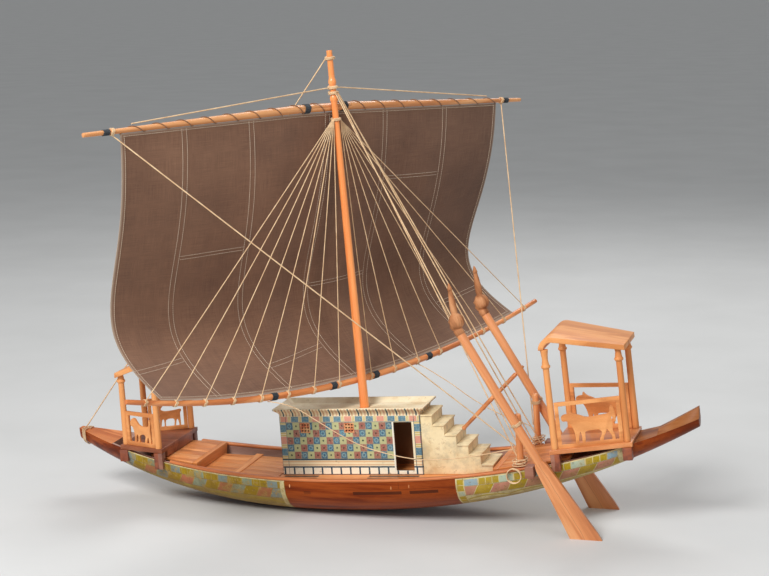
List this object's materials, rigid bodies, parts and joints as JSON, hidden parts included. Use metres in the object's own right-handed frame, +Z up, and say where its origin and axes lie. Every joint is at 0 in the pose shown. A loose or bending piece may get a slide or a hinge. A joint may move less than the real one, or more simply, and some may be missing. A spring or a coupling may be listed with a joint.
{
  "type": "egyptian tomb model boat",
  "caption": "Rigged wooden model river boat with a painted cabin, end kiosks with cut-out animals, a square linen sail on yard and boom, and turning steering oars",
  "frame": {"origin": "centre of the planed keel flat that the hull rests on", "axes": "+X towards the stern, +Y towards starboard, +Z up, on a level surface"},
  "size_m": [1.1771, 0.9069, 0.8386],
  "materials": {
    "hull": "varnished red-brown wood with painted panels",
    "light_wood": "bare light wood, thin varnish",
    "dark_wood": "dark stained wood",
    "painted_wood": "cream ground with painted pattern, matt",
    "spar_wood": "orange varnished round wood",
    "linen": "dark linen with pale stitched seams",
    "cord": "twisted natural cord",
    "dark_cord": "dark wound thread"
  },
  "bodies": {
    "boat": {"hull_shell": "hull", "bow_block": "hull", "stern_block": "hull", "stern_tail": "light_wood", "port_gunwale": "light_wood", "starboard_gunwale": "light_wood", "deck_steps": "light_wood", "bow_deck": "light_wood", "fore_deck": "light_wood", "main_deck": "light_wood", "aft_deck": "light_wood", "oar_chocks": "light_wood", "bow_kiosk_posts": "light_wood", "bow_kiosk_roof": "light_wood", "bow_kiosk_port_panel": "light_wood", "bow_kiosk_starboard_panel": "light_wood", "stern_kiosk_posts": "light_wood", "stern_kiosk_roof": "light_wood", "stern_kiosk_port_panel": "light_wood", "stern_kiosk_starboard_panel": "light_wood", "deck_beams": "dark_wood", "mast_step": "dark_wood", "bow_kiosk_platform": "dark_wood", "bow_kiosk_feet": "dark_wood", "stern_kiosk_platform": "dark_wood", "stern_kiosk_feet": "dark_wood", "cabin_walls": "painted_wood", "cabin_roof": "painted_wood", "window_lattices": "painted_wood", "cabin_stair": "painted_wood", "stair_treads": "painted_wood", "mast": "spar_wood", "yard_port_half": "spar_wood", "yard_starboard_half": "spar_wood", "boom_port_half": "spar_wood", "boom_starboard_half": "spar_wood", "oar_stanchions": "spar_wood", "sail": "linen", "yard_lashing": "cord", "boom_lifts": "cord", "yard_lifts": "cord", "forestay": "cord", "bow_lashing": "cord", "backstays": "cord", "port_brace": "cord", "starboard_brace": "cord", "port_sheet": "cord", "starboard_sheet": "cord", "rope_coil": "cord", "oar_lashings": "cord", "yard_bindings": "dark_cord", "boom_bindings": "dark_cord"},
    "port_oar": {"port_oar": "spar_wood", "port_oar_finial": "spar_wood", "port_tiller": "spar_wood"},
    "starboard_oar": {"starboard_oar": "spar_wood", "starboard_oar_finial": "spar_wood", "starboard_tiller": "spar_wood"}
  },
  "joints": [
    {"name": "port_oar_turn", "type": "hinge", "parent": "boat", "child": "port_oar", "pos_m": [0.41107, -0.097, 0.19723], "axis": [-0.5314, 0, 0.8471], "range_deg": [-18, 18]},
    {"name": "starboard_oar_turn", "type": "hinge", "parent": "boat", "child": "starboard_oar", "pos_m": [0.41107, 0.097, 0.19723], "axis": [-0.5314, 0, 0.8471], "range_deg": [-18, 18]}
  ]
}
